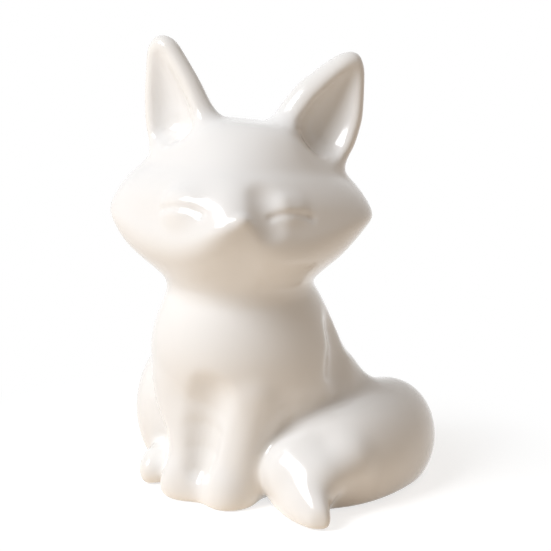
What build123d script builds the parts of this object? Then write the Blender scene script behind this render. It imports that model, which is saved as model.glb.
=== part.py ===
"""Seated fox figurine of cast, glazed ceramic, its head turned to its left and its tail along that side."""
import os

from build123d import *

# Walls and joints (millimetres)
wall = 4.5
slip_gap = 0.2
socket_play = 0.2

# Torso: rises between its levels, and at each level its half width and its reach to the front and the back
base_half_width = 26.0
base_front = 14.0
base_back = 41.0
base_to_hip = 15.0
hip_half_width = 30.5
hip_front = 17.5
hip_back = 45.0
hip_to_belly = 15.0
belly_half_width = 31.0
belly_front = 23.0
belly_back = 40.5
belly_to_chest = 15.0
chest_half_width = 29.5
chest_front = 28.5
chest_back = 32.5
chest_to_shoulder = 12.0
shoulder_half_width = 25.5
shoulder_front = 27.0
shoulder_back = 27.0
shoulder_to_neck = 9.0
neck_radius = 22.0
neck_forward = 1.5
vent_radius = 4.0

# Neck spigot of the head, which seats inside the neck of the torso
spigot_length = 7.0
spigot_wall = 3.5

# Head attitude on the neck (degrees)
head_turn = 32.0
head_tilt_back = 14.0
head_lean = 5.5
head_side_shift = -0.8
attitude_rise = 44.0

# Head: rises between its levels, and at each level its half width and its reach to the face and the nape
neck_to_jaw = 7.0
jaw_half_width = 27.5
jaw_front = 27.0
jaw_back = 25.0
jaw_to_chin = 7.0
chin_half_width = 34.9
chin_front = 34.0
chin_back = 28.5
chin_to_cheek = 7.5
cheek_half_width = 41.0
cheek_front = 39.5
cheek_back = 30.5
cheek_to_eye = 6.5
eye_half_width = 38.0
eye_front = 35.5
eye_back = 31.0
eye_to_temple = 8.5
temple_half_width = 29.6
temple_front = 28.8
temple_back = 30.0
temple_to_brow = 8.5
brow_half_width = 27.0
brow_front = 22.8
brow_back = 27.5
brow_to_crown = 3.4
crown_half_width = 24.4
crown_front = 20.0
crown_back = 24.8
crown_to_top = 1.8
top_half_width = 18.2
top_front = 14.4
top_back = 18.5

# Fullness of a head section between its side and its front: 0.707 is an ellipse, less is a wedge
round_fullness = 0.707
jaw_fullness = 0.68
chin_fullness = 0.65
cheek_fullness = 0.60
eye_fullness = 0.62
temple_fullness = 0.66
brow_fullness = 0.68
crown_fullness = 0.69

# Ears
ear_spread = 19.2
ear_set_back = -3.0
ear_below_top = 7.2
ear_splay = 19.0
ear_lean_back = 4.0
ear_face_out = 22.0
ear_root_depth = 16.0
ear_root_half_width = 9.0
ear_root_half_depth = 5.0
ear_root_to_base = 11.0
ear_base_half_width = 13.0
ear_base_half_depth = 6.5
ear_base_to_low = 11.0
ear_low_half_width = 12.6
ear_low_half_depth = 6.0
ear_low_to_middle = 9.0
ear_middle_half_width = 10.4
ear_middle_half_depth = 5.2
ear_middle_to_high = 8.0
ear_high_half_width = 7.5
ear_high_half_depth = 4.0
ear_high_to_tip = 8.2
ear_tip_half_width = 3.4
ear_tip_half_depth = 2.0
ear_rim = 3.2
ear_scoop_forward = 6.0
ear_scoop_foot_rise = -1.0
ear_scoop_foot_half_width = 6.5
ear_scoop_foot_half_depth = 5.5
ear_peg_radius = 1.8

# Closed eyelids: their places on the face, slopes (degrees) and half sizes at the root, the dome and its top
lid_spread = 16.4
lid_side_shift = -2.0
lid_rise = 27.6
lid_forward = 27.9
lid_turn = 36.0
lid_slope = 61.0
lid_root_depth = 2.6
lid_root_half_width = 7.8
lid_root_half_height = 5.0
lid_dome_proud = 0.7
lid_dome_half_width = 6.4
lid_dome_half_height = 3.8
lid_proud = 1.7
lid_top_half_width = 3.0
lid_top_half_height = 1.6

# Forelegs: each level's place and half sizes, with the rises between the levels, and the paw
leg_foot_spread = 9.0
leg_foot_forward = 18.5
leg_foot_half_width = 7.0
leg_foot_half_length = 8.0
foot_to_elbow = 20.0
elbow_spread = 11.5
elbow_forward = 16.5
elbow_half_width = 7.4
elbow_half_length = 8.2
elbow_to_upper = 22.0
upper_spread = 13.5
upper_forward = 12.5
upper_half_width = 8.6
upper_half_length = 9.0
paw_forward = 19.0
paw_sole_half_width = 7.0
paw_sole_half_length = 9.0
sole_to_toe = 4.0
toe_half_width = 7.7
toe_half_length = 10.0
toe_to_instep = 8.0
instep_half_width = 6.2
instep_half_length = 7.6
foreleg_peg_radius = 3.5
foreleg_peg_rise = 14.0

# Hind legs: the right one's haunch and foot, and the left one's haunch, which starts behind the tail
haunch_spread = 29.0
haunch_back = 10.0
haunch_sole_half_width = 8.0
haunch_sole_half_length = 13.0
haunch_sole_to_low = 8.0
haunch_low_half_width = 11.5
haunch_low_half_length = 17.5
haunch_low_to_middle = 12.0
haunch_middle_half_width = 13.0
haunch_middle_half_length = 19.5
haunch_middle_to_high = 13.0
haunch_high_half_width = 10.0
haunch_high_half_length = 15.0
haunch_high_to_top = 8.0
haunch_top_half_width = 4.0
haunch_top_half_length = 6.0
haunch_peg_radius = 3.0
haunch_peg_rise = 35.5
left_haunch_spread = 23.0
left_haunch_back = 17.0
left_haunch_rise = 18.0
left_haunch_half_width = 13.0
left_haunch_half_length = 15.0
left_haunch_to_high = 13.0
left_haunch_high_half_width = 9.6
left_haunch_high_half_length = 12.0
left_haunch_high_to_top = 8.0
left_haunch_top_half_width = 3.5
left_haunch_top_half_length = 4.5
foot_spread = 23.0
foot_forward = 8.0
foot_sole_half_width = 5.2
foot_sole_half_length = 12.5
foot_sole_to_middle = 4.5
foot_middle_half_width = 6.2
foot_middle_half_length = 14.0
foot_middle_to_top = 6.5
foot_top_half_width = 3.5
foot_top_half_length = 8.0

# Tail: plan place, heading (degrees from +X) and half size of its sections, from the rump round to the tip
tail_root = (4.0, 36.0)
tail_root_heading = 15.0
tail_root_half = 10.5
tail_bend = (20.0, 41.0)
tail_bend_heading = -5.0
tail_bend_half = 13.0
tail_turn = (32.0, 35.5)
tail_turn_heading = -50.0
tail_turn_half = 15.0
tail_side = (36.3, 22.0)
tail_side_heading = -88.0
tail_side_half = 15.5
tail_middle = (34.5, 6.0)
tail_middle_heading = -106.0
tail_middle_half = 15.3
tail_lobe = (27.3, -9.0)
tail_lobe_heading = -98.0
tail_lobe_half = 13.5
tail_taper = (34.0, -19.5)
tail_taper_heading = -78.0
tail_taper_half = 9.0
tail_tip = (45.0, -26.5)
tail_tip_heading = -62.0
tail_tip_half = 3.4
tail_upright = 1.18
tail_sunk_share = 0.34
tail_tenon_radius = 8.0
tail_vent_radius = 3.5

# Reach of the block that cuts a form flat at the sole
ground_span = 4 * (base_front + base_back)

# Levels of the torso above the ground, which the soles stand on
sole_height = 0.0
hip_height = sole_height + base_to_hip
belly_height = hip_height + hip_to_belly
chest_height = belly_height + belly_to_chest
shoulder_height = chest_height + chest_to_shoulder
neck_height = shoulder_height + shoulder_to_neck

torso_levels = [
    (sole_height, base_half_width, base_front, base_back),
    (hip_height, hip_half_width, hip_front, hip_back),
    (belly_height, belly_half_width, belly_front, belly_back),
    (chest_height, chest_half_width, chest_front, chest_back),
    (shoulder_height, shoulder_half_width, shoulder_front, shoulder_back),
    (neck_height, neck_radius, neck_radius + neck_forward, neck_radius - neck_forward),
]


def torso_form(growth):
    """The torso's pear shape, grown on all sides by the given amount."""
    with BuildPart() as form:
        for height, half_width, front, back in torso_levels:
            with BuildSketch(Plane((0, (back - front) / 2, height))):
                Ellipse(half_width + growth, (front + back) / 2 + growth)
        loft()
    return form.part


def stacked_form(levels):
    """A limb lofted through level ellipses: height, x, y, half width, half length."""
    with BuildPart() as form:
        for height, x, y, half_width, half_length in levels:
            with BuildSketch(Plane((x, y, height))):
                Ellipse(half_width, half_length)
        loft()
    return form.part


def rod(start, end, radius):
    """A round rod between two points."""
    run = Vector(end) - Vector(start)
    with BuildPart() as form:
        with BuildSketch(Plane(start, z_dir=run)):
            Circle(radius)
        extrude(amount=run.length)
    return form.part


# Frames of the head, whose level planes start at the neck and take up its attitude
neck_centre = Location((0, -neck_forward, neck_height + slip_gap))


def head_frame(rise):
    """The level frame at a rise above the neck; the head takes up its attitude with the rise."""
    share = min(rise / attitude_rise, 1)
    attitude = Rot(Z=head_turn) * Rot(X=-head_tilt_back * share) * Rot(Y=head_lean * share)
    return neck_centre * attitude * Pos(head_side_shift * share, 0, rise)


jaw_rise = neck_to_jaw
chin_rise = jaw_rise + jaw_to_chin
cheek_rise = chin_rise + chin_to_cheek
eye_rise = cheek_rise + cheek_to_eye
temple_rise = eye_rise + eye_to_temple
brow_rise = temple_rise + temple_to_brow
crown_rise = brow_rise + brow_to_crown
top_rise = crown_rise + crown_to_top

cheek_level = (cheek_rise, cheek_half_width, cheek_front, cheek_back, cheek_fullness)
jaw_levels = [
    (0, neck_radius, neck_radius, neck_radius, round_fullness),
    (jaw_rise, jaw_half_width, jaw_front, jaw_back, jaw_fullness),
    (chin_rise, chin_half_width, chin_front, chin_back, chin_fullness),
    cheek_level,
]
temple_level = (temple_rise, temple_half_width, temple_front, temple_back, temple_fullness)
face_levels = [
    cheek_level,
    (eye_rise, eye_half_width, eye_front, eye_back, eye_fullness),
    temple_level,
]
brow_level = (brow_rise, brow_half_width, brow_front, brow_back, brow_fullness)
crown_levels = [
    brow_level,
    (crown_rise, crown_half_width, crown_front, crown_back, crown_fullness),
    (top_rise, top_half_width, top_front, top_back, crown_fullness),
]


def head_form(levels, inset):
    """A stretch of the head lofted through closed curves, each drawn in by the inset."""
    with BuildPart() as form:
        for rise, half_width, front, back, fullness in levels:
            side = half_width - inset
            face = front - inset
            nape = back - inset
            with BuildSketch(Plane(head_frame(rise))):
                with BuildLine():
                    Spline(
                        (0, -face),
                        (side * fullness, -face * fullness),
                        (side, 0),
                        (side * round_fullness, nape * round_fullness),
                        (0, nape),
                        (-side * round_fullness, nape * round_fullness),
                        (-side, 0),
                        (-side * fullness, -face * fullness),
                        periodic=True,
                    )
                make_face()
        loft()
    return form.part


ear_base_rise = ear_root_to_base - ear_root_depth
ear_low_rise = ear_base_rise + ear_base_to_low
ear_middle_rise = ear_low_rise + ear_low_to_middle
ear_high_rise = ear_middle_rise + ear_middle_to_high
ear_tip_rise = ear_high_rise + ear_high_to_tip

ear_levels = [
    (-ear_root_depth, ear_root_half_width, ear_root_half_depth),
    (ear_base_rise, ear_base_half_width, ear_base_half_depth),
    (ear_low_rise, ear_low_half_width, ear_low_half_depth),
    (ear_middle_rise, ear_middle_half_width, ear_middle_half_depth),
    (ear_high_rise, ear_high_half_width, ear_high_half_depth),
    (ear_tip_rise, ear_tip_half_width, ear_tip_half_depth),
]
scoop_foot = (ear_scoop_foot_rise, ear_scoop_foot_half_width, ear_scoop_foot_half_depth)
scoop_levels = [scoop_foot] + [
    (rise, half_width - ear_rim, half_depth) for rise, half_width, half_depth in ear_levels[2:-1]
]


def ear_frame(side):
    """The frame of an ear: its axis is Z, and its scoop opens towards -Y."""
    root = head_frame(top_rise) * Pos(side * ear_spread, ear_set_back, -ear_below_top)
    return root * Rot(Y=side * ear_splay) * Rot(X=-ear_lean_back) * Rot(Z=side * ear_face_out)


def ear_form(side, levels, forward):
    """An ear's leaf shape, moved forward."""
    with BuildPart() as form:
        for rise, half_width, half_depth in levels:
            with BuildSketch(Plane(ear_frame(side) * Pos(0, -forward, rise))):
                Ellipse(half_width, half_depth)
        loft()
    return form.part


def scoop_form(side, growth):
    """The hollow in front of an ear, which runs down into the brow, grown on all sides."""
    foot_rise, foot_half_width, foot_half_depth = scoop_levels[0]
    levels = [(foot_rise - growth, foot_half_width, foot_half_depth)] + scoop_levels[1:]
    return ear_form(side, [(rise, wide + growth, deep + growth) for rise, wide, deep in levels], ear_scoop_forward)


def lid_form(side):
    """A closed eyelid, a low oval dome on the face."""
    place = Pos(side * lid_spread + lid_side_shift, -lid_forward, 0)
    root = head_frame(lid_rise) * place * Rot(Z=side * lid_turn) * Rot(X=lid_slope)
    with BuildPart() as form:
        for proud, half_width, half_height in (
            (-lid_root_depth, lid_root_half_width, lid_root_half_height),
            (lid_dome_proud, lid_dome_half_width, lid_dome_half_height),
            (lid_proud, lid_top_half_width, lid_top_half_height),
        ):
            with BuildSketch(Plane(root * Pos(Z=proud))):
                Ellipse(half_width, half_height)
        loft()
    return form.part


def foreleg_form(side):
    """A foreleg from the ground up into the chest."""
    elbow_height = sole_height + foot_to_elbow
    upper_height = elbow_height + elbow_to_upper
    return stacked_form([
        (sole_height, side * leg_foot_spread, -leg_foot_forward, leg_foot_half_width, leg_foot_half_length),
        (elbow_height, side * elbow_spread, -elbow_forward, elbow_half_width, elbow_half_length),
        (upper_height, side * upper_spread, -upper_forward, upper_half_width, upper_half_length),
    ])


def paw_form(side):
    """The rounded forepaw in front of a foreleg."""
    x = side * leg_foot_spread
    toe_height = sole_height + sole_to_toe
    instep_height = toe_height + toe_to_instep
    return stacked_form([
        (sole_height, x, -paw_forward, paw_sole_half_width, paw_sole_half_length),
        (toe_height, x, -paw_forward, toe_half_width, toe_half_length),
        (instep_height, x, -paw_forward, instep_half_width, instep_half_length),
    ])


def right_haunch_form():
    """The right thigh, which stands on the ground beside the torso."""
    x = -haunch_spread
    low_height = sole_height + haunch_sole_to_low
    middle_height = low_height + haunch_low_to_middle
    high_height = middle_height + haunch_middle_to_high
    top_height = high_height + haunch_high_to_top
    return stacked_form([
        (sole_height, x, haunch_back, haunch_sole_half_width, haunch_sole_half_length),
        (low_height, x, haunch_back, haunch_low_half_width, haunch_low_half_length),
        (middle_height, x, haunch_back, haunch_middle_half_width, haunch_middle_half_length),
        (high_height, x, haunch_back, haunch_high_half_width, haunch_high_half_length),
        (top_height, x, haunch_back, haunch_top_half_width, haunch_top_half_length),
    ])


def left_haunch_form():
    """The left thigh, which rises from behind the tail."""
    x = left_haunch_spread
    y = left_haunch_back
    low_height = sole_height + left_haunch_rise
    high_height = low_height + left_haunch_to_high
    top_height = high_height + left_haunch_high_to_top
    return stacked_form([
        (low_height, x, y, left_haunch_half_width, left_haunch_half_length),
        (high_height, x, y, left_haunch_high_half_width, left_haunch_high_half_length),
        (top_height, x, y, left_haunch_top_half_width, left_haunch_top_half_length),
    ])


def foot_form():
    """The right hind foot, which lies on the ground before the haunch."""
    x = -foot_spread
    middle_height = sole_height + foot_sole_to_middle
    top_height = middle_height + foot_middle_to_top
    return stacked_form([
        (sole_height, x, -foot_forward, foot_sole_half_width, foot_sole_half_length),
        (middle_height, x, -foot_forward, foot_middle_half_width, foot_middle_half_length),
        (top_height, x, -foot_forward, foot_top_half_width, foot_top_half_length),
    ])


lobe_station = (tail_lobe, tail_lobe_heading, tail_lobe_half)
tail_body = [
    (tail_root, tail_root_heading, tail_root_half),
    (tail_bend, tail_bend_heading, tail_bend_half),
    (tail_turn, tail_turn_heading, tail_turn_half),
    (tail_side, tail_side_heading, tail_side_half),
    (tail_middle, tail_middle_heading, tail_middle_half),
    lobe_station,
]
tail_end = [
    lobe_station,
    (tail_taper, tail_taper_heading, tail_taper_half),
    (tail_tip, tail_tip_heading, tail_tip_half),
]


def tail_form(stretches, inset):
    """The tail lofted through upright ellipses across its run, and cut flat at the sole."""
    with BuildPart() as form:
        for stations in stretches:
            for place, heading, half in stations:
                half_height = half * tail_upright
                centre = Vector(*place, sole_height + half_height * (1 - tail_sunk_share))
                along = Vector(1, 0, 0).rotate(Axis.Z, heading)
                with BuildSketch(Plane(centre, x_dir=(0, 0, 1), z_dir=along)):
                    Ellipse(half_height - inset, half - inset)
            loft()
        with BuildSketch(Plane.XY.offset(sole_height + inset)):
            Rectangle(ground_span, ground_span)
        extrude(amount=-ground_span, mode=Mode.SUBTRACT)
    return form.part


def head_skin(growth):
    """The whole head, from the jaw to the crown, grown by the given amount."""
    raised_crown = [brow_level] + [(rise + growth, *reaches) for rise, *reaches in crown_levels[1:]]
    with BuildPart() as form:
        for levels in (jaw_levels, face_levels, [temple_level, brow_level], raised_crown):
            add(head_form(levels, -growth))
    return form.part


# Forms that several pieces are cut by
torso_outside = torso_form(0)
torso_inside = torso_form(-wall)
torso_seat = torso_form(slip_gap)
head_seat = head_skin(slip_gap)
roof_rise = top_rise - wall
roof_level = (roof_rise, top_half_width, top_front, top_back, crown_fullness)
spigot_radius = neck_radius - wall - socket_play
spigot_bore = spigot_radius - spigot_wall
mouth_radius = spigot_bore + wall - spigot_wall / 2
mouth_level = (0, mouth_radius, mouth_radius, mouth_radius, round_fullness)
sides = {"left": 1, "right": -1}
scoops = {name: scoop_form(side, 0) for name, side in sides.items()}
scoop_linings = [scoop_form(side, wall) for side in sides.values()]


def lined_hollow(levels):
    """A stretch of the hollow inside the head, kept a wall away from the ears' scoops."""
    with BuildPart() as form:
        add(head_form(levels, wall))
        add(scoop_linings, mode=Mode.SUBTRACT)
    return form.part


head_hollows = [
    head_form([mouth_level] + jaw_levels[1:], wall),
    head_form(face_levels, wall),
    lined_hollow([temple_level, brow_level]),
    lined_hollow([brow_level, roof_level]),
]


def foreleg_rod(side, radius):
    """The peg line of a foreleg, from the leg to the middle of the torso."""
    height = sole_height + foreleg_peg_rise
    start = (side * leg_foot_spread, -leg_foot_forward, height)
    return rod(start, (0, (hip_back - hip_front) / 2, height), radius)


def right_haunch_rod(radius):
    """The peg line of the right hind leg, level across to the middle of the torso."""
    height = sole_height + haunch_peg_rise
    start = (-haunch_spread - haunch_high_half_width / 2, haunch_back, height)
    return rod(start, (0, haunch_back, height), radius)


def left_haunch_rod(radius):
    """The peg line of the left hind leg, level across to the middle of the torso."""
    height = sole_height + haunch_peg_rise
    start = (left_haunch_spread + left_haunch_high_half_width / 2, left_haunch_back, height)
    return rod(start, (0, left_haunch_back, height), radius)


def ear_rod(side, radius):
    """The peg line of an ear, down its axis into the head."""
    behind_scoop = ear_frame(side) * Pos(Y=ear_middle_half_depth / 2)
    start = behind_scoop * Pos(Z=ear_middle_rise)
    end = behind_scoop * Pos(Z=-ear_root_depth)
    return rod(start.position, end.position, radius)


def tail_rod(radius):
    """The tenon line of the tail, from its bend to the middle of the torso."""
    height = sole_height + tail_bend_half
    return rod((*tail_bend, height), (0, (hip_back - hip_front) / 2, height), radius)


tail_outside = tail_form([tail_body, tail_end], 0)
tail_seat = tail_form([tail_body, tail_end], -slip_gap)
tail_inside = tail_form([tail_body[1:]], wall)
torso_lining = torso_form(slip_gap + wall)

os.makedirs("parts", exist_ok=True)

# Torso: open at the base and the neck, with a socket for each piece that is stuck to it
torso_sockets = [foreleg_rod(side, foreleg_peg_radius + socket_play) for side in sides.values()]
torso_sockets.append(right_haunch_rod(haunch_peg_radius + socket_play))
torso_sockets.append(left_haunch_rod(haunch_peg_radius + socket_play))
torso_sockets.append(tail_rod(tail_tenon_radius + socket_play))
with BuildPart() as torso_shell:
    add(torso_outside)
    add(torso_inside, mode=Mode.SUBTRACT)
    add(torso_sockets, mode=Mode.SUBTRACT)
torso_shell.part.label = "torso_shell"
export_step(torso_shell.part, "parts/torso_shell.step")

# Head: its spigot stands in the neck of the torso
head_outside = head_skin(0)
lids = [lid_form(side) for side in sides.values()]
ear_sockets = [ear_rod(side, ear_peg_radius + socket_play) for side in sides.values()]
with BuildPart() as head_shell:
    add([head_outside] + lids)
    with BuildSketch(Plane(neck_centre)):
        Circle(spigot_radius)
    extrude(amount=-spigot_length)
    add(head_hollows + ear_sockets + list(scoops.values()), mode=Mode.SUBTRACT)
    with BuildSketch(Plane(neck_centre)):
        Circle(spigot_bore)
    extrude(amount=spigot_length, both=True, mode=Mode.SUBTRACT)
head_shell.part.label = "head_shell"
export_step(head_shell.part, "parts/head_shell.step")

# Ears: a leaf with a scooped front, cut to the head, and a peg
for name, side in sides.items():
    leaf = ear_form(side, ear_levels, 0)
    peg = ear_rod(side, ear_peg_radius)
    with BuildPart() as peg_in_wall:
        add(peg)
        add(head_hollows, mode=Mode.SUBTRACT)
    with BuildPart() as ear:
        add(leaf)
        add([scoops[name], head_seat], mode=Mode.SUBTRACT)
        add(peg_in_wall.part)
    ear.part.label = f"{name}_ear"
    export_step(ear.part, f"parts/{name}_ear.step")

# Forelegs: a leg and its paw, cut to the torso, and a peg
for name, side in sides.items():
    leg = foreleg_form(side)
    paw = paw_form(side)
    peg = foreleg_rod(side, foreleg_peg_radius)
    with BuildPart() as peg_in_wall:
        add(peg)
        add(torso_inside, mode=Mode.SUBTRACT)
    with BuildPart() as foreleg:
        add([leg, paw])
        add(torso_seat, mode=Mode.SUBTRACT)
        add(peg_in_wall.part)
    foreleg.part.label = f"{name}_foreleg"
    export_step(foreleg.part, f"parts/{name}_foreleg.step")

# Right hind leg: a haunch and its foot, cut to the torso, and a peg
with BuildPart() as right_peg:
    add(right_haunch_rod(haunch_peg_radius))
    add(torso_inside, mode=Mode.SUBTRACT)
with BuildPart() as right_hind_leg:
    add([right_haunch_form(), foot_form()])
    add(torso_seat, mode=Mode.SUBTRACT)
    add(right_peg.part)
right_hind_leg.part.label = "right_hind_leg"
export_step(right_hind_leg.part, "parts/right_hind_leg.step")

# Left hind leg: the haunch that shows between the torso and the tail, and a peg
with BuildPart() as left_peg:
    add(left_haunch_rod(haunch_peg_radius))
    add(torso_inside, mode=Mode.SUBTRACT)
with BuildPart() as left_hind_leg:
    add(left_haunch_form())
    add([torso_seat, tail_seat], mode=Mode.SUBTRACT)
    add(left_peg.part)
left_hind_leg.part.label = "left_hind_leg"
export_step(left_hind_leg.part, "parts/left_hind_leg.step")

# Tail: hollow, and vented through its tenon into the torso
tenon = tail_rod(tail_tenon_radius)
tail_vent = tail_rod(tail_vent_radius)
with BuildPart() as tail_cavity:
    add(tail_inside)
    add(torso_lining, mode=Mode.SUBTRACT)
with BuildPart() as tenon_in_wall:
    add(tenon)
    add(torso_inside, mode=Mode.SUBTRACT)
with BuildPart() as tail_shell:
    add(tail_outside)
    add(torso_seat, mode=Mode.SUBTRACT)
    add(tenon_in_wall.part)
    add([tail_cavity.part, tail_vent], mode=Mode.SUBTRACT)
tail_shell.part.label = "tail_shell"
export_step(tail_shell.part, "parts/tail_shell.step")

# Base disc: closes the torso, with a vent for the kiln
with BuildPart() as base_disc:
    with BuildSketch(Plane((0, (base_back - base_front) / 2, sole_height))):
        Ellipse(base_half_width - wall - socket_play, (base_front + base_back) / 2 - wall - socket_play)
        Circle(vent_radius, mode=Mode.SUBTRACT)
    extrude(amount=wall)
base_disc.part.label = "base_disc"
export_step(base_disc.part, "parts/base_disc.step")
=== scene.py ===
import math

import bpy
import numpy as np
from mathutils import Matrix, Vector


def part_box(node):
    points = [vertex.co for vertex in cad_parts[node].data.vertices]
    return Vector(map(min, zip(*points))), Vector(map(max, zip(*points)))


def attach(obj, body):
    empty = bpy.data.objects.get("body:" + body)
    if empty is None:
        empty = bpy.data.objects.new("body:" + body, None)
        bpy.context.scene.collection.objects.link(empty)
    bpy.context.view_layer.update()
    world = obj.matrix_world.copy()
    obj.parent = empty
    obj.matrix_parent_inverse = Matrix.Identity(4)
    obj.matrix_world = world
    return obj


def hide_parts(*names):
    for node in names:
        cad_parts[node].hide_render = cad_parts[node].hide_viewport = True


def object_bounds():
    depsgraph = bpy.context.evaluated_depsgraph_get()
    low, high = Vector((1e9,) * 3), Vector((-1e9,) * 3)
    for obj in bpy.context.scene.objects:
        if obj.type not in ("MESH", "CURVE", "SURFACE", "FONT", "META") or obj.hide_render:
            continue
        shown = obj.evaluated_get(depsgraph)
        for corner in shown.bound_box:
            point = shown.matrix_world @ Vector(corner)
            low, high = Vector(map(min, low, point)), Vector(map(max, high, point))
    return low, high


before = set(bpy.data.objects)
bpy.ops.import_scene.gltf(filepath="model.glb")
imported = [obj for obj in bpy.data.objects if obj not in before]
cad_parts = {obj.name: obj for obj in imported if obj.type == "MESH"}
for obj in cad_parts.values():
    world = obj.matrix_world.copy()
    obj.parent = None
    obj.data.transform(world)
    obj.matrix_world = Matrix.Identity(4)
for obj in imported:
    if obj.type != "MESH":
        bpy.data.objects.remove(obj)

import openvdb
from mathutils import Matrix, Vector

cad_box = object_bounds()

# A millimetre in the scene's metres
MM = 0.001

# Cells of the clay field (millimetres), its margin round the figure, and the reach of its distances in cells
CELL = 0.62
MARGIN = 7.0
REACH = 16

# Decimals of a millimetre to which a casting's corners are merged
MERGE_DECIMALS = 3

# Weights that rub a form smooth: how many spreads they reach each way, and the steps in a spread along a run
BELL_REACH = 3
EASE_STEPS = 8

# Least values that a division or a root may meet, and what keeps a place inside the last cell
LEAST_SLOPE = 1e-3
LEAST_TAPER = 0.01
LEAST_GAP = 1e-6
LAST_CELL = 1.001

field_start = [int(math.floor((low / MM - MARGIN) / CELL)) for low in cad_box[0]]
field_end = [int(math.ceil((high / MM + MARGIN) / CELL)) for high in cad_box[1]]
field_shape = tuple(end - start for start, end in zip(field_start, field_end))
field_transform = openvdb.createLinearTransform(voxelSize=CELL)
axis_x, axis_y, axis_z = (
    (np.arange(count, dtype=np.float32) + start) * CELL for start, count in zip(field_start, field_shape)
)


def node_surface(name):
    """Corner points (millimetres) and triangles of a CAD node."""
    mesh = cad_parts[name].data
    mesh.calc_loop_triangles()
    corners = np.empty(len(mesh.vertices) * 3, np.float32)
    mesh.vertices.foreach_get("co", corners)
    triangles = np.empty(len(mesh.loop_triangles) * 3, np.int32)
    mesh.loop_triangles.foreach_get("vertices", triangles)
    corners = (corners / MM).round(MERGE_DECIMALS).reshape(-1, 3)
    points, place = np.unique(corners, axis=0, return_inverse=True)
    return points.astype(np.float32), place.reshape(-1)[triangles].reshape(-1, 3).astype(np.uint32)


def distance_field(points, triangles, quads=None):
    """Signed distance (millimetres) to a closed surface, negative in the clay."""
    grid = openvdb.FloatGrid.createLevelSetFromPolygons(
        points, triangles=triangles, quads=quads, transform=field_transform, halfWidth=REACH
    )
    field = np.empty(field_shape, np.float32)
    grid.copyToArray(field, ijk=tuple(field_start))
    return field


def joined(one, other, fillet):
    """Two bodies of clay joined with a fillet smoothed into the crease."""
    near = np.clip(1 - np.abs(one - other) / fillet, 0, None)
    return np.minimum(one, other) - near * near * fillet / 4


def softened(field, spread):
    """The field with its edges and facets rubbed smooth over the given spread."""
    reach = int(math.ceil(BELL_REACH * spread / CELL))
    steps = np.arange(-reach, reach + 1)
    weights = np.exp(-0.5 * (steps * CELL / spread) ** 2)
    weights = (weights / weights.sum()).astype(np.float32)
    for axis in range(3):
        room = [(reach, reach) if place == axis else (0, 0) for place in range(3)]
        wide = np.moveaxis(np.pad(field, room, mode="edge"), axis, 0)
        count = field.shape[axis]
        total = sum(weight * wide[step:step + count] for step, weight in enumerate(weights))
        field = np.moveaxis(total, 0, axis)
    return np.ascontiguousarray(field)


def skin_of(field):
    """Points and quads of the field's zero surface."""
    grid = openvdb.FloatGrid(REACH * CELL)
    grid.transform = field_transform
    grid.gridClass = openvdb.GridClass.LEVEL_SET
    grid.copyFromArray(field, ijk=tuple(field_start))
    points, _, quads = grid.convertToPolygons(0.0, 0.0)
    return points, quads


def biggest_part(points, quads):
    """The quads that belong to the connected surface with the most faces."""
    group = np.arange(len(points))
    while True:
        least = group[quads].min(axis=1)
        lower = group.copy()
        for corner in range(4):
            np.minimum.at(lower, quads[:, corner], least)
        lower = lower[lower]
        if np.array_equal(lower, group):
            break
        group = lower
    owner = group[quads[:, 0]]
    names, sizes = np.unique(owner, return_counts=True)
    return quads[owner == names[sizes.argmax()]]


def filled(field):
    """The field of the outer skin alone, with the hollows inside it filled."""
    points, quads = skin_of(field)
    return distance_field(points, None, biggest_part(points, quads))


# The raw castings, each with its own field
GLAZED_NODES = [
    "torso_shell", "head_shell", "left_ear", "right_ear", "left_foreleg", "right_foreleg",
    "left_hind_leg", "right_hind_leg", "tail_shell",
]
casting = {name: distance_field(*node_surface(name)) for name in GLAZED_NODES + ["base_disc"]}

# The fox's sides, as signs along X
SIDES = {"left": 1, "right": -1}

# The head's place and attitude, as on the castings (millimetres and degrees)
NECK_CENTRE = Vector((0, -1.5, 66.2))
HEAD_TURN = 32.0
HEAD_TILT_BACK = 14.0
HEAD_LEAN = 5.5
HEAD_SIDE_SHIFT = -0.8
HEAD_TOP_RISE = 50.2
FACE_TILT_BACK = 9.0
FACE_LEAN = 3.5


def turned(x=0.0, y=0.0, z=0.0):
    """A turn about Z, then X, then Y, in degrees."""
    return (
        Matrix.Rotation(math.radians(z), 4, "Z")
        @ Matrix.Rotation(math.radians(x), 4, "X")
        @ Matrix.Rotation(math.radians(y), 4, "Y")
    )


face_frame = Matrix.Translation(NECK_CENTRE) @ turned(-FACE_TILT_BACK, FACE_LEAN, HEAD_TURN)
crown_frame = (
    Matrix.Translation(NECK_CENTRE)
    @ turned(-HEAD_TILT_BACK, HEAD_LEAN, HEAD_TURN)
    @ Matrix.Translation((HEAD_SIDE_SHIFT, 0, HEAD_TOP_RISE))
)


def window(low, high):
    """Slices of the field between two corners (millimetres), and the places of its cells there."""
    cut = []
    for axis, bottom, top in zip((axis_x, axis_y, axis_z), low, high):
        first = int(np.searchsorted(axis, bottom))
        last = int(np.searchsorted(axis, top))
        cut.append(slice(max(first, 0), min(last, len(axis))))
    places = np.meshgrid(axis_x[cut[0]], axis_y[cut[1]], axis_z[cut[2]], indexing="ij", sparse=True)
    return tuple(cut), places


def seen_from(base, places):
    """The cells' places in another frame."""
    back = base.inverted()
    x, y, z = places
    return [row[0] * x + row[1] * y + row[2] * z + row[3] for row in back][:3]


def box_round(base, reach):
    """Corners of an upright box round a frame's origin."""
    return base.translation - Vector((reach,) * 3), base.translation + Vector((reach,) * 3)


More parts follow.
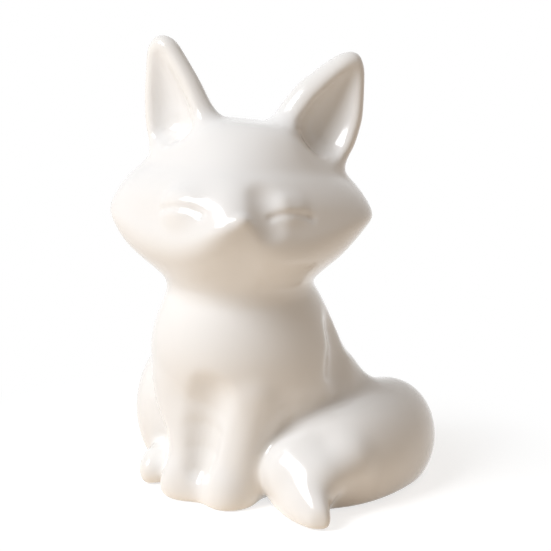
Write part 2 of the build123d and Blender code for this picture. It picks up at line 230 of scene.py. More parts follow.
def sampled(field, x, y, z):
    """The field's values at places between its cells."""
    spots = [place / CELL - start for place, start in zip((x, y, z), field_start)]
    spots = [np.clip(spot, 0, count - LAST_CELL) for spot, count in zip(spots, field.shape)]
    low = [spot.astype(np.int32) for spot in spots]
    part = [(spot - corner).astype(np.float32) for spot, corner in zip(spots, low)]
    total = 0
    for dx in (0, 1):
        for dy in (0, 1):
            for dz in (0, 1):
                weight = 1
                for share, step in zip(part, (dx, dy, dz)):
                    weight = weight * (share if step else 1 - share)
                total = total + weight * field[low[0] + dx, low[1] + dy, low[2] + dz]
    return total


def capsule(places, start, end, first_radius, last_radius):
    """Distance to a round-ended rod whose radius changes along it."""
    start = Vector(start)
    run = Vector(end) - start
    x, y, z = (place - begin for place, begin in zip(places, start))
    share = np.clip((x * run.x + y * run.y + z * run.z) / run.length_squared, 0, 1)
    away = np.sqrt((x - share * run.x) ** 2 + (y - share * run.y) ** 2 + (z - share * run.z) ** 2)
    return away - (first_radius + (last_radius - first_radius) * share)


def with_rod(clay, start, end, radii, fillet):
    """The clay with a round-ended rod worked into it."""
    reach = Vector((max(radii) + fillet,) * 3)
    low = Vector([min(pair) for pair in zip(start, end)]) - reach
    high = Vector([max(pair) for pair in zip(start, end)]) + reach
    cut, places = window(low, high)
    shaped = clay.copy()
    shaped[cut] = joined(clay[cut], capsule(places, start, end, *radii), fillet)
    return shaped


def bead(places, radii):
    """Distance to an ellipsoid at the frame's origin."""
    x, y, z = places
    near = np.sqrt((x / radii[0]) ** 2 + (y / radii[1]) ** 2 + (z / radii[2]) ** 2)
    slope = np.sqrt((x / radii[0] ** 2) ** 2 + (y / radii[1] ** 2) ** 2 + (z / radii[2] ** 2) ** 2)
    return near * (near - 1) / np.maximum(slope, LEAST_SLOPE)


def hollowed(one, cutter, round_edge):
    """Clay with a cutter's form scooped out of it, its edge rounded over."""
    return -joined(-one, cutter, round_edge)


def out_of(clay, spot):
    """The outward direction of the clay's skin near a spot."""
    near = np.array([spot])
    steps = np.eye(3) * 2 * CELL
    slope = [float((sampled(clay, *(near + step).T) - sampled(clay, *(near - step).T))[0]) for step in steps]
    return Vector(slope).normalized()


def pressed(clay, spots, radii, edge):
    """The clay with a round tool pressed into it along a line of spots."""
    reach = Vector((max(radii) + 2 * edge,) * 3)
    low = Vector([min(spot[axis] for spot in spots) for axis in range(3)]) - reach
    high = Vector([max(spot[axis] for spot in spots) for axis in range(3)]) + reach
    cut, places = window(low, high)
    line = np.full(clay[cut].shape, MARGIN, np.float32)
    for place in range(len(spots) - 1):
        rod = capsule(places, spots[place], spots[place + 1], radii[place], radii[place + 1])
        line = np.minimum(line, rod)
    shaped = clay.copy()
    shaped[cut] = hollowed(clay[cut], line, edge)
    return shaped


def with_valley(clay, spots, tool):
    """The clay with a soft valley along spots near its skin, as wide, deep and rounded as the tool says."""
    radii, depth, edge = tool
    lifted = []
    for spot, radius in zip(spots, radii):
        out = out_of(clay, spot)
        height = float(sampled(clay, *np.array([spot]).T)[0])
        lifted.append(Vector(spot) + out * (radius - depth - height))
    return pressed(clay, lifted, radii, edge)


def eased(stations, values, spread, places):
    """A smooth run through values at stations, read at the given places."""
    over = (BELL_REACH + 1) * spread
    fine = np.arange(stations[0] - over, stations[-1] + over, spread / EASE_STEPS)
    run = np.interp(fine, stations, values)
    reach = BELL_REACH * EASE_STEPS
    steps = np.arange(-reach, reach + 1) / EASE_STEPS
    weights = np.exp(-0.5 * steps**2)
    run = np.convolve(np.pad(run, reach, mode="edge"), weights / weights.sum(), mode="valid")
    return np.interp(places, fine, run).astype(np.float32)


# Room left round the head's box where its skin is worked (millimetres)
SIDE_ROOM = Vector((4.0, 4.0, 0.0))
TOP_ROOM = Vector((4.0, 4.0, 6.0))

# Face: the cheek ridge hangs below its ring on both sides of the nose (millimetres from the face's middle)
RIDGE_STATIONS = [0, 4, 8, 13, 18, 24, 30, 36, 42]
RIDGE_DROPS = [-1.6, -0.6, 1.2, 3.4, 4.6, 4.2, 3.4, 1.8, 0.0]
RIDGE_EASE = 1.2
RIDGE_LEAN = 0.04
DROP_LEVELS = [0.0, 12.0, 19.0, 27.5]
DROP_SHARES = [0.0, 1.0, 1.0, 0.0]
DROP_EASE = 2.0
DROP_FRONT = [-6.0, 10.0]


def face_shaped(head):
    """The head with its cheek ridge drawn down into two lobes beside the nose."""
    low, high = (Vector(corner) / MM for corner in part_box("head_shell"))
    cut, places = window(low - SIDE_ROOM, high + SIDE_ROOM)
    x, y, z = seen_from(face_frame, places)
    drop = eased(RIDGE_STATIONS, RIDGE_DROPS, RIDGE_EASE, np.abs(x)) - RIDGE_LEAN * x
    share = eased(DROP_LEVELS, DROP_SHARES, DROP_EASE, z)
    share = share * np.clip((DROP_FRONT[1] - y) / (DROP_FRONT[1] - DROP_FRONT[0]), 0, 1)
    lift = drop * share
    up = face_frame.col[2]
    shaped = head.copy()
    shaped[cut] = sampled(head, places[0] + up.x * lift, places[1] + up.y * lift, places[2] + up.z * lift)
    return shaped


# Forehead: rubbed round above the eyes (millimetres above the neck)
FOREHEAD_LEVELS = [26.0, 36.0]
FOREHEAD_BACK = [-4.0, 6.0]
FOREHEAD_SPREAD = 3.2


def forehead_rounded(head):
    """The head with the crease up its forehead rubbed away."""
    low, high = (Vector(corner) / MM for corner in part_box("head_shell"))
    cut, places = window(low - SIDE_ROOM, high + TOP_ROOM)
    _, y, z = seen_from(face_frame, places)
    share = np.clip((z - FOREHEAD_LEVELS[0]) / (FOREHEAD_LEVELS[1] - FOREHEAD_LEVELS[0]), 0, 1)
    share = share * np.clip((FOREHEAD_BACK[1] - y) / (FOREHEAD_BACK[1] - FOREHEAD_BACK[0]), 0, 1)
    shaped = head.copy()
    shaped[cut] += share * (softened(head[cut], FOREHEAD_SPREAD) - head[cut])
    return shaped


# Ears: their place on the crown (millimetres, degrees), and the sections of ear and scoop from the root up
EAR_SPREAD = 19.2
EAR_SIDE_SHIFT = -1.5
EAR_SET_BACK = -3.0
EAR_BELOW_TOP = {"left": 6.2, "right": 7.4}
EAR_SPLAY = {"left": 22.5, "right": 19.0}
EAR_LEAN_BACK = 4.0
EAR_FACE_OUT = {"left": 14.0, "right": 30.0}
EAR_RISES = [-16.0, -5.0, 6.0, 15.0, 23.0, 29.0, 32.6]
EAR_HALF_WIDTHS = {
    "left": [6.5, 11.5, 13.8, 12.0, 8.2, 5.0, 3.4],
    "right": [6.3, 10.7, 12.2, 10.1, 7.4, 5.2, 4.1],
}
EAR_HALF_DEPTHS = [5.0, 6.8, 6.6, 6.0, 5.0, 4.2, 3.6]
EAR_ROUND_ENDS = [4.0, 5.0]
EAR_EASE = 1.6
EAR_FILLET = 5.0
SCOOP_RISES = [-2.0, 4.0, 12.0, 20.0, 26.0, 30.0]
SCOOP_HALF_WIDTHS = {
    "left": [7.2, 8.8, 8.0, 5.4, 2.8, 1.8],
    "right": [7.4, 8.4, 7.4, 5.2, 3.3, 2.3],
}
SCOOP_HALF_DEPTHS = [6.4, 7.6, 7.0, 5.6, 4.2, 3.2]
SCOOP_ROUND_ENDS = [6.0, 6.0]
SCOOP_FORWARD = 6.2
SCOOP_OUT = {"left": 2.0, "right": 0.6}
SCOOP_EDGE = 2.4


def leaf(places, rises, half_widths, half_depths, round_ends):
    """Distance to a leaf-like form along Z: oval sections that change with the rise, and rounded ends."""
    x, y, z = places
    below = np.clip(1 - (z - rises[0]) / round_ends[0], 0, 1)
    above = np.clip(1 - (rises[-1] - z) / round_ends[1], 0, 1)
    taper = np.sqrt(np.maximum(1 - below**2 - above**2, LEAST_TAPER))
    wide = eased(rises, half_widths, EAR_EASE, z) * taper
    deep = eased(rises, half_depths, EAR_EASE, z) * taper
    near = np.sqrt((x / wide) ** 2 + (y / deep) ** 2)
    slope = np.sqrt((x / wide**2) ** 2 + (y / deep**2) ** 2)
    past_end = np.maximum(rises[0] - z, z - rises[-1])
    return np.maximum(near * (near - 1) / np.maximum(slope, LEAST_SLOPE), past_end)


def ear_frame(name):
    """A frame at an ear's root: Z runs up the ear, and -Y out of its scoop."""
    side = SIDES[name]
    return (
        crown_frame
        @ Matrix.Translation((side * EAR_SPREAD + EAR_SIDE_SHIFT, EAR_SET_BACK, -EAR_BELOW_TOP[name]))
        @ Matrix.Rotation(math.radians(side * EAR_SPLAY[name]), 4, "Y")
        @ Matrix.Rotation(math.radians(-EAR_LEAN_BACK), 4, "X")
        @ Matrix.Rotation(math.radians(side * EAR_FACE_OUT[name]), 4, "Z")
    )


def with_ear(clay, name):
    """The clay with an ear set on the head and its front scooped out."""
    side = SIDES[name]
    base = ear_frame(name)
    cut, places = window(*box_round(base, EAR_RISES[-1] + MARGIN))
    x, y, z = seen_from(base, places)
    ear = leaf((x, y, z), EAR_RISES, EAR_HALF_WIDTHS[name], EAR_HALF_DEPTHS, EAR_ROUND_ENDS)
    opening = (x - side * SCOOP_OUT[name], y + SCOOP_FORWARD, z)
    scoop = leaf(opening, SCOOP_RISES, SCOOP_HALF_WIDTHS[name], SCOOP_HALF_DEPTHS, SCOOP_ROUND_ENDS)
    shaped = clay.copy()
    shaped[cut] = hollowed(joined(clay[cut], ear, EAR_FILLET), scoop, SCOOP_EDGE)
    return shaped


# Fillets of slip smoothed into the joints (millimetres)
NECK_FILLET = 3.0
HAUNCH_FILLETS = {"left": 7.0, "right": 4.0}
TAIL_FILLETS = [1.2, 8.0]
TAIL_FILLET_RUN = [8.0, 24.0]
LEG_FILLET = 7.0
BETWEEN_LEGS_FILLET = 4.0

# Plug that closes the base disc's vent while the hollows are filled (millimetres)
VENT_PLUG_RADIUS = 6.0
disc_low, disc_high = (Vector(corner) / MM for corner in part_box("base_disc"))
disc_middle = (disc_low + disc_high) / 2
from_vent = np.hypot(axis_x[:, None] - disc_middle.x, axis_y[None, :] - disc_middle.y) - VENT_PLUG_RADIUS
plug = np.maximum(from_vent[:, :, None], np.abs(axis_z - disc_middle.z) - disc_middle.z)

# Forelegs (millimetres): both swell inwards beside the gap, and a round tool slims the right ankle outside
LEG_SPONGE = 1.8
LEG_GROWTH = 0.4
LEFT_CALF = [(7.6, -16.2, 24.0), (7.4, -20.0, 2.0)]
LEFT_CALF_RADII = [6.2, 7.8]
RIGHT_CALF = [(-5.8, -18.6, 26.0), (-5.0, -21.2, 3.0)]
RIGHT_CALF_RADII = [5.6, 6.2]
CALF_FILLET = 3.0
ANKLE_PLACES = [(-15.9, -22.0, 16.6), (-16.6, -16.5, 16.0)]
ANKLE_TOOL = ([15.0, 15.0], 2.6, 3.0)
left_leg = with_rod(casting["left_foreleg"], *LEFT_CALF, LEFT_CALF_RADII, CALF_FILLET)
right_leg = with_rod(casting["right_foreleg"], *RIGHT_CALF, RIGHT_CALF_RADII, CALF_FILLET)
right_leg = with_valley(right_leg, ANKLE_PLACES, ANKLE_TOOL)
forelegs = softened(joined(left_leg, right_leg, BETWEEN_LEGS_FILLET), LEG_SPONGE) - LEG_GROWTH

# Clay between the tail's end and its body (millimetres), which carries the ridge round the bend
TAIL_BRIDGE = [(37.4, -12.5, 12.5), (39.7, -3.7, 15.2)]
TAIL_BRIDGE_RADII = [7.0, 8.2]
TAIL_BRIDGE_FILLET = 4.0
TAIL_CHEEK = [(25.8, -6.0, 12.4), (26.0, -11.0, 11.6)]
TAIL_CHEEK_RADII = [12.4, 11.2]

# The castings stuck together, to find the hollows inside them
GAP_FILLET = 1.5
SKIN_DEPTH = 1.0
stuck = plug
for field in casting.values():
    stuck = joined(stuck, field, GAP_FILLET)
hollows = (stuck > 0) & (filled(stuck) < -SKIN_DEPTH)

# The figure, joined from its castings
torso = np.minimum(np.minimum(casting["torso_shell"], casting["base_disc"]), plug)
figure = joined(torso, casting["head_shell"], NECK_FILLET)
figure[hollows] = -SKIN_DEPTH
figure = forehead_rounded(face_shaped(figure))
figure = joined(figure, forelegs, LEG_FILLET)
for side in SIDES:
    figure = joined(figure, casting[side + "_hind_leg"], HAUNCH_FILLETS[side])
tail = with_rod(casting["tail_shell"], *TAIL_BRIDGE, TAIL_BRIDGE_RADII, TAIL_BRIDGE_FILLET)
tail = with_rod(tail, *TAIL_CHEEK, TAIL_CHEEK_RADII, TAIL_BRIDGE_FILLET)
tail_fillet = np.interp(axis_y, TAIL_FILLET_RUN, TAIL_FILLETS).astype(np.float32)[None, :, None]
figure = joined(figure, tail, tail_fillet)
for side in SIDES:
    figure = with_ear(figure, side)

# Face details, at places across and up the face (millimetres from its middle and from the neck)
LID_PLACES = {"left": (14.6, 27.6), "right": (-18.4, 27.6)}
EYE_RADIUS = 15.0
EYE_SPONGE = 2.0
CREASE_SPOTS = 9
CREASE_HALF_SPAN = 6.6
CREASE_BELOW = 2.9
CREASE_SAG = 1.7
CREASE_RADIUS = 0.8
CREASE_EDGE = 0.9
NOSE_PLACE = (0.0, 22.6)
NOSE_RADII = (2.6, 2.4, 1.9)
NOSE_SUNK = 1.2
NOSE_FILLET = 1.8
BEAD_ROOM = 2.0
VALLEY_PLACES = [(5.6, 29.0), (6.6, 25.0), (8.4, 20.5)]
VALLEY_TOOL = ([4.6, 4.6, 4.6], 0.9, 4.0)
FACE_REACH = 60.0

# Lower lips of the ears' scoops, rubbed softer (millimetres from the ear's root)
LIP_PLACE = (0.0, -8.0, -1.0)
LIP_RADIUS = 12.0
LIP_SPONGE = 1.8

# Share of a sponge's radius over which its rubbing fades
SPONGE_FADE = 0.4

# Valleys at the flank and between the forelegs (millimetres): places, then the tool's radii, depth and edge
FLANK_PLACES = [(27.0, 12.0, 51.0), (29.6, 9.8, 45.5), (30.4, 6.0, 40.0)]
FLANK_TOOL = ([6.0, 6.0, 6.0], 1.6, 4.0)
LEG_GAP_PLACES = [
    (5.0, -25.6, 37.0), (2.6, -24.2, 31.5), (0.4, -21.6, 25.0), (-0.8, -21.3, 17.3), (-0.2, -23.2, 11.0)
]
LEG_GAP_TOOL = ([8.0, 7.6, 6.0, 4.6, 3.2], 1.9, 4.0)


def on_face(clay, across, up):
    """Where the face's skin lies at a place across and up the face."""
    forward = np.arange(-FACE_REACH, 0, CELL / 2)
    spots = np.array([face_frame @ Vector((across, y, up)) for y in forward])
    return Vector(spots[int(np.argmax(sampled(clay, *spots.T) < 0))])


def bead_frame(clay, across, up, sunk):
    """A frame sunk in the face: X runs across the face, and -Y out of it."""
    spot = on_face(clay, across, up)
    out = out_of(clay, spot)
    side = (face_frame.col[0].xyz - out * face_frame.col[0].xyz.dot(out)).normalized()
    base = Matrix((side, -out, side.cross(-out))).transposed().to_4x4()
    base.translation = spot - out * sunk
    return base


def with_bead(clay, base, radii, fillet):
    """The clay with an oval bead set into it."""
    cut, places = window(*box_round(base, max(radii) + 2 * fillet + BEAD_ROOM))
    shaped = clay.copy()
    shaped[cut] = joined(clay[cut], bead(seen_from(base, places), radii), fillet)
    return shaped


def sponged(clay, spot, radius, spread):
    """The clay rubbed softer within a radius of a spot."""
    reach = Vector((radius,) * 3)
    cut, (x, y, z) = window(spot - reach, spot + reach)
    away = np.sqrt((x - spot.x) ** 2 + (y - spot.y) ** 2 + (z - spot.z) ** 2)
    share = np.clip((radius - away) / (radius * SPONGE_FADE), 0, 1)
    shaped = clay.copy()
    shaped[cut] += share * (softened(clay[cut], spread) - clay[cut])
    return shaped


def with_crease(clay, across, up):
    """The clay with the curved line of a closed eye pressed into it."""
    spots = []
    for share in np.linspace(-1, 1, CREASE_SPOTS):
        place = across + share * CREASE_HALF_SPAN
        spots.append(on_face(clay, place, up - CREASE_BELOW - CREASE_SAG * share**2))
    return pressed(clay, spots, [CREASE_RADIUS] * len(spots), CREASE_EDGE)


# The joined figure rubbed over, and its details worked in
JOINT_SPONGE = 1.0
figure = softened(filled(figure), JOINT_SPONGE)
figure = with_valley(figure, FLANK_PLACES, FLANK_TOOL)
figure = with_valley(figure, LEG_GAP_PLACES, LEG_GAP_TOOL)
figure = with_valley(figure, [on_face(figure, *place) for place in VALLEY_PLACES], VALLEY_TOOL)
figure = with_bead(figure, bead_frame(figure, *NOSE_PLACE, NOSE_SUNK), NOSE_RADII, NOSE_FILLET)
figure = sponged(figure, on_face(figure, *LID_PLACES["right"]), EYE_RADIUS, EYE_SPONGE)
for side in SIDES:
    figure = sponged(figure, ear_frame(side) @ Vector(LIP_PLACE), LIP_RADIUS, LIP_SPONGE)
for side in SIDES:
    figure = with_crease(figure, *LID_PLACES[side])

# The whole figure rubbed smooth, and ground flat at the sole
SPONGE = 0.5
SOLE_EDGE = 1.2
figure = hollowed(softened(filled(figure), SPONGE), axis_z[None, None, :], SOLE_EDGE)


def skin_normals(field, places):
    """Outward directions of the field's surface at the given points."""
    slopes = np.gradient(field)
    direction = np.stack([sampled(slope, *places.T) for slope in slopes], axis=1)
    return direction / np.linalg.norm(direction, axis=1, keepdims=True)


# The finished skin, its bend and the depth of its wall (millimetres), and the casting nearest to each point
SETTLING_STEPS = 2
BEND_SPREAD = 1.2
WALL_PROBE = 1.6
WALL_SHARE = 0.8
WALL_LEAST = 0.12
points, quads = skin_of(figure)
quads = biggest_part(points, quads)[:, ::-1].astype(int)
for step in range(SETTLING_STEPS):
    normals = skin_normals(figure, points)
    points = points - normals * sampled(figure, *points.T)[:, None]
normals = skin_normals(figure, points)
rubbed = softened(figure, BEND_SPREAD)
bend = sum(np.gradient(np.gradient(rubbed, axis=axis), axis=axis) for axis in range(3))
bend = sampled(bend, *points.T) / CELL**2
depth = np.clip(-WALL_SHARE * sampled(figure, *(points - normals * WALL_PROBE).T), WALL_LEAST, None)
nearness = np.stack([sampled(field, *points.T) for field in casting.values()])
owners = list(casting)
nearest = nearness.argmin(axis=0)


def cut_out(place):
    """One casting's share of the skin: its faces, and the corner pairs and shares of its cut edge."""
    kept = nearest == place
    corners = kept[quads]
    faces = quads[corners.all(axis=1)].tolist()
    crossing = quads[corners.any(axis=1) & ~corners.all(axis=1)]
    pairs, shares, known = [], [], {}

    def cut_corner(one, other):
        pair = (min(one, other), max(one, other))
        if pair not in known:
            first, last = nearest[list(pair)]
            lead = nearness[last, pair[0]] - nearness[first, pair[0]]
            trail = nearness[first, pair[1]] - nearness[last, pair[1]]
            known[pair] = len(points) + len(pairs)
            pairs.append(pair)
            shares.append(lead / max(lead + trail, LEAST_GAP))
        return known[pair]

    for quad in crossing.tolist():
        meeting = np.unique(nearest[quad])
        takes_middle = len(meeting) > 2 and place == meeting[0]
        outline = []
        for one, other in zip(quad, quad[1:] + quad[:1]):
            if kept[one]:
                outline.append(one)
            if kept[one] != kept[other] or (takes_middle and nearest[one] != nearest[other]):
                outline.append(cut_corner(one, other))
        faces.append(outline)
    return faces, np.array(pairs, int).reshape(-1, 2), np.array(shares)


def between(values, pairs, shares):
    """Values at cut corners, blended from the two corners of each cut edge."""
    shares = shares.reshape(-1, *[1] * (values.ndim - 1))
    return np.concatenate([values, values[pairs[:, 0]] * (1 - shares) + values[pairs[:, 1]] * shares])


def glazed_piece(name):
    """One casting's share of the skin, made a closed shell with its inner wall."""
    faces, pairs, shares = cut_out(owners.index(name))
    used, renamed = np.unique(np.concatenate([np.array(face) for face in faces]), return_inverse=True)
    spots = between(points, pairs, shares)[used]
    out = between(normals, pairs, shares)[used]
    out = out / np.linalg.norm(out, axis=1, keepdims=True)
    thick = between(depth, pairs, shares)[used]
    curve = between(bend, pairs, shares)[used]
    count = len(used)
    faces_here, at = [], 0
    for face in faces:
        faces_here.append(renamed[at:at + len(face)].tolist())
        at += len(face)
    edges = {}
    for face in faces_here:
        for one, other in zip(face, face[1:] + face[:1]):
            edges[(one, other)] = True
    rim = [
        [other, one, one + count, other + count] for one, other in edges if (other, one) not in edges
    ]
    inner = [[corner + count for corner in reversed(face)] for face in faces_here]
    mesh = bpy.data.meshes.new(name + "_glazed")
    corners = np.concatenate([spots, spots - out * thick[:, None]]) * MM
    mesh.from_pydata(corners.tolist(), [], faces_here + inner + rim)
    mesh.polygons.foreach_set("use_smooth", [True] * len(mesh.polygons))
    mesh.normals_split_custom_set_from_vertices(np.concatenate([out, -out]).tolist())
    bulge = mesh.attributes.new("bulge", "FLOAT", "POINT")
    bulge.data.foreach_set("value", np.concatenate([curve, curve]).astype(np.float32))
    piece = bpy.data.objects.new(name + "_glazed", mesh)
    bpy.context.scene.collection.objects.link(piece)
    return piece


class Finish:
    """A procedural material, or the light of the room, built node by node."""

    def __init__(self, owner):
        owner.use_nodes = True
        self.owner = owner
        self.nodes = owner.node_tree.nodes
        self.links = owner.node_tree.links
        self.nodes.clear()

    def add(self, kind, settings=None, **inputs):
        """A new node with its settings and its inputs, which are values or other nodes' outputs."""
        node = self.nodes.new(kind)
        for key, value in (settings or {}).items():
            setattr(node, key, value)
        for key, value in inputs.items():
            socket = node.inputs[int(key[1:])] if key[1:].isdigit() else node.inputs[key.replace("_", " ")]
            if isinstance(value, bpy.types.NodeSocket):
                self.links.new(value, socket)
            else:
                socket.default_value = value
        return node

    def ranged(self, value, start, end, low=0.0, high=1.0):
        """A value's way from start to end, as a number between low and high."""
        return self.add("ShaderNodeMapRange", _0=value, _1=start, _2=end, _3=low, _4=high).outputs[0]

    def clouded(self, cloud, tones, positions):
        """A colour that goes from one tone to another with a cloud's value."""
        ramp = self.add("ShaderNodeValToRGB", _0=cloud)
        for element, tone, position in zip(ramp.color_ramp.elements, tones, positions):
            element.position = position
            element.color = tone
        return ramp.outputs["Color"]

    def tinted(self, colour, tint, share):
        """A colour with a share of a tint mixed in."""
        return self.add("ShaderNodeMix", {"data_type": "RGBA"}, _0=share, _6=colour, _7=tint).outputs[2]

    def out(self, surface, kind="ShaderNodeOutputMaterial"):
        """The material or the room's light, showing the given surface."""
        self.add(kind, Surface=surface)
        return self.owner


# White glaze: tones and roughness over the clouds' range, and tints by the skin's bend (per millimetre)
CLOUD_RANGE = [0.3, 0.7]
GLAZE_TONES = [(0.888, 0.884, 0.877, 1), (0.905, 0.903, 0.899, 1)]
GLAZE_ROUGHNESS = [0.14, 0.20]
RIDGE_TINT = (0.905, 0.89, 0.865, 1)
RIDGE_BENDS = [0.12, 0.6]
POOL_TINT = (0.85, 0.832, 0.80, 1)
POOL_BENDS = [-0.08, -0.5]


def white_glaze():
    """Glossy white glaze, thinner and warmer on ridges, pooled in creases, with slow waves in its surface."""
    finish = Finish(bpy.data.materials.new("white_glaze"))
    place = finish.add("ShaderNodeTexCoord").outputs["Object"]
    bulge = finish.add("ShaderNodeAttribute", {"attribute_name": "bulge"}).outputs["Fac"]
    cloud = finish.add("ShaderNodeTexNoise", Vector=place, Scale=28.0, Detail=3.0, Roughness=0.5)
    tone = finish.clouded(cloud.outputs["Fac"], GLAZE_TONES, CLOUD_RANGE)
    tone = finish.tinted(tone, RIDGE_TINT, finish.ranged(bulge, *RIDGE_BENDS))
    tone = finish.tinted(tone, POOL_TINT, finish.ranged(bulge, *POOL_BENDS))
    gloss = finish.add("ShaderNodeTexNoise", Vector=place, Scale=90.0, Detail=2.0)
    rough = finish.ranged(gloss.outputs["Fac"], *CLOUD_RANGE, *GLAZE_ROUGHNESS)
    wave = finish.add("ShaderNodeTexNoise", Vector=place, Scale=110.0, Detail=1.0, Roughness=0.4)
    bump = finish.add("ShaderNodeBump", Strength=0.12, Distance=0.0004, Height=wave.outputs["Fac"])
    skin = finish.add(
        "ShaderNodeBsdfPrincipled", Base_Color=tone, Roughness=rough, Normal=bump.outputs["Normal"],
        Coat_Weight=0.4, Coat_Roughness=0.08,
    )
    return finish.out(skin.outputs[0])


# Bare ceramic: its tones over the whole range of the clouds
CLAY_TONES = [(0.72, 0.66, 0.57, 1), (0.82, 0.77, 0.69, 1)]
CLAY_RANGE = [0.0, 1.0]


def bare_ceramic():
    """Unglazed fired clay, matte, with a cloudy tone and a fine grain."""
    finish = Finish(bpy.data.materials.new("bare_ceramic"))
    place = finish.add("ShaderNodeTexCoord").outputs["Object"]
    grain = finish.add("ShaderNodeTexNoise", Vector=place, Scale=900.0, Detail=4.0)
    cloud = finish.add("ShaderNodeTexNoise", Vector=place, Scale=60.0, Detail=3.0)
    tone = finish.clouded(cloud.outputs["Fac"], CLAY_TONES, CLAY_RANGE)
    bump = finish.add("ShaderNodeBump", Strength=0.4, Distance=0.0002, Height=grain.outputs["Fac"])
    skin = finish.add(
        "ShaderNodeBsdfPrincipled", Base_Color=tone, Roughness=0.8, Normal=bump.outputs["Normal"],
    )
    return finish.out(skin.outputs[0])


# The glazed pieces, which stand for their castings, and the bare disc
glaze = white_glaze()
for name in GLAZED_NODES:
    piece = glazed_piece(name)
    piece.data.materials.append(glaze)
    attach(piece, "root")
    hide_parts(name)
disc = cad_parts["base_disc"].data
disc.materials.clear()
disc.materials.append(bare_ceramic())

# Camera, as the photo was taken (metres, degrees, photo pixels, and the sensor in millimetres)
PHOTO_WIDTH = 551
PIXELS_PER_METRE = 3150.0
VIEW_DISTANCE = 0.9
VIEW_AZIMUTH = 32.0
VIEW_ELEVATION = 16.0
VIEW_TARGET = Vector((-0.00071, 0.0206, 0.06222))
SENSOR_WIDTH = 36.0


def towards(azimuth, elevation):
    """Unit direction from the figure towards a place round it."""
    turn, rise = math.radians(azimuth), math.radians(elevation)
    return Vector((math.sin(turn) * math.cos(rise), -math.cos(turn) * math.cos(rise), math.sin(rise)))


def aimed(thing, place, target):
    """Puts a camera or lamp at a place, looking at the target."""
    thing.location = place
    thing.rotation_euler = (target - place).to_track_quat("-Z", "Y").to_euler()
    bpy.context.scene.collection.objects.link(thing)
    return thing


lens = bpy.data.cameras.new("photo_camera")
lens.sensor_width = SENSOR_WIDTH
lens.lens = PIXELS_PER_METRE * VIEW_DISTANCE / PHOTO_WIDTH * SENSOR_WIDTH
camera = bpy.data.objects.new("photo_camera", lens)
aimed(camera, VIEW_TARGET + towards(VIEW_AZIMUTH, VIEW_ELEVATION) * VIEW_DISTANCE, VIEW_TARGET)
bpy.context.scene.camera = camera


def soft_lamp(name, azimuth, elevation, distance, size, power, colour):
    """A square soft box aimed at the figure (degrees, metres, watts)."""
    light = bpy.data.lights.new(name, "AREA")
    light.size = size
    light.energy = power
    light.color = colour
    place = VIEW_TARGET + towards(azimuth, elevation) * distance
    return aimed(bpy.data.objects.new(name, light), place, VIEW_TARGET)


soft_lamp(
    "window_light", azimuth=-29.0, elevation=43.0, distance=2.0, size=0.9, power=35.6,
    colour=(0.93, 0.962, 1.0),
)
back_light = soft_lamp(
    "back_light", azimuth=150.0, elevation=60.0, distance=2.0, size=0.9, power=4.6,
    colour=(1.0, 1.0, 1.0),
)
back_light.visible_glossy = False

# Kinds of rays that see the floor and the room as the camera does
MIRRORED_RAYS = ["Is Glossy Ray", "Is Transmission Ray"]


def seen_plainly(finish):
    """1 for rays that see the floor or the room from the camera, in gloss or through glass."""
    path = finish.add("ShaderNodeLightPath")
    total = path.outputs["Is Camera Ray"]
    for kind in MIRRORED_RAYS:
        either = finish.add("ShaderNodeMath", {"operation": "MAXIMUM"}, _0=total, _1=path.outputs[kind])
        total = either.outputs[0]
    return total


# Pale floor (metres): warm for the light that it throws back, white to the eye away from the figure's shadow
FLOOR_RADIUS = 4.0
FLOOR_SIDES = 64
SHADOW_NEAR = 0.05
SHADOW_FAR = 0.12
FLOOR_BOUNCE = (1.0, 0.85, 0.68, 1)
FLOOR_GREY = (0.5, 0.5, 0.5, 1)
FLOOR_GLOW = 0.72
WHITE = (1, 1, 1, 1)


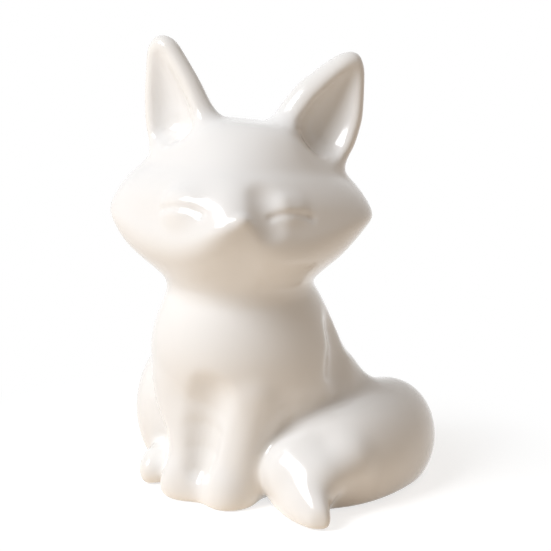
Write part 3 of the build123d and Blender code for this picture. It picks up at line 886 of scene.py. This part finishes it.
def pale_floor():
    """Floor that keeps the figure's shadow near it, and fades to plain white further out."""
    finish = Finish(bpy.data.materials.new("pale_floor"))
    place = finish.add("ShaderNodeTexCoord").outputs["Object"]
    away = finish.add("ShaderNodeVectorMath", {"operation": "LENGTH"}, _0=place).outputs["Value"]
    far = finish.add(
        "ShaderNodeMapRange", {"interpolation_type": "SMOOTHSTEP"}, _0=away, _1=SHADOW_NEAR, _2=SHADOW_FAR
    ).outputs[0]
    warm = finish.add("ShaderNodeBsdfDiffuse", Color=FLOOR_BOUNCE)
    grey = finish.add("ShaderNodeBsdfDiffuse", Color=FLOOR_GREY)
    glow = finish.add("ShaderNodeEmission", Color=WHITE, Strength=FLOOR_GLOW)
    near = finish.add("ShaderNodeAddShader", _0=grey.outputs[0], _1=glow.outputs[0])
    plain = finish.add("ShaderNodeEmission", Color=WHITE, Strength=1.0)
    shown = finish.add("ShaderNodeMixShader", _0=far, _1=near.outputs[0], _2=plain.outputs[0])
    seen = seen_plainly(finish)
    whole = finish.add("ShaderNodeMixShader", _0=seen, _1=warm.outputs[0], _2=shown.outputs[0])
    return finish.out(whole.outputs[0])


turns = np.linspace(0, 2 * math.pi, FLOOR_SIDES, endpoint=False)
floor_mesh = bpy.data.meshes.new("floor")
floor_mesh.from_pydata(
    [(FLOOR_RADIUS * math.cos(turn), FLOOR_RADIUS * math.sin(turn), 0) for turn in turns],
    [], [list(range(FLOOR_SIDES))],
)
floor_mesh.materials.append(pale_floor())
floor = bpy.data.objects.new("floor", floor_mesh)
bpy.context.scene.collection.objects.link(floor)

# Room light: dim and warm on the figure, white to the eye
ROOM_LIGHT = (0.14, 0.10, 0.064, 1)


def room_light():
    """Light from all round, with a plain white backdrop where the room itself is seen."""
    finish = Finish(bpy.data.worlds.new("studio"))
    ambient = finish.add("ShaderNodeBackground", Color=ROOM_LIGHT)
    backdrop = finish.add("ShaderNodeBackground", Color=WHITE)
    seen = seen_plainly(finish)
    whole = finish.add("ShaderNodeMixShader", _0=seen, _1=ambient.outputs[0], _2=backdrop.outputs[0])
    return finish.out(whole.outputs[0], "ShaderNodeOutputWorld")


bpy.context.scene.world = room_light()
bpy.context.scene.view_settings.view_transform = "Standard"
